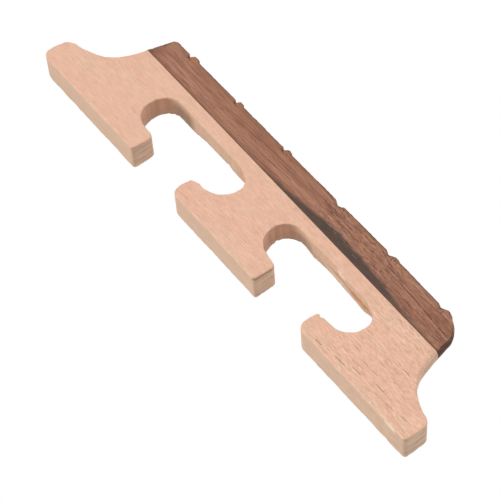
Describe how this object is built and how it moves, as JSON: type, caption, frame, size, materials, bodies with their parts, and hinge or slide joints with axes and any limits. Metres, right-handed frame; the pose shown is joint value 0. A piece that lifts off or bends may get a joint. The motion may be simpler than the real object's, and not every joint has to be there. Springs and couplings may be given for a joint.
{
  "type": "banjo bridge",
  "caption": "Wooden banjo bridge: a thin, tapered pale body with feet and open arches, topped by a glued-on strip of darker hardwood that is notched for the strings.",
  "frame": {"origin": "middle of the footprint, on the plane that the feet stand on", "axes": "+X along the bridge towards the end with the rounded top corner, +Y through its thickness, +Z from the feet up to the strings"},
  "size_m": [0.085, 0.0048, 0.0179],
  "materials": {
    "body_wood": "pale, fine-grained hardwood such as maple or beech, sanded and left bare",
    "dried_glue": "dried wood glue, stained dark by the top's dust",
    "top_wood": "brown open-grained hardwood such as walnut or rosewood, sanded and left bare"
  },
  "bodies": {
    "root": {"bridge_body": "body_wood", "glue_line": "dried_glue", "top_cap": "top_wood"}
  },
  "joints": []
}
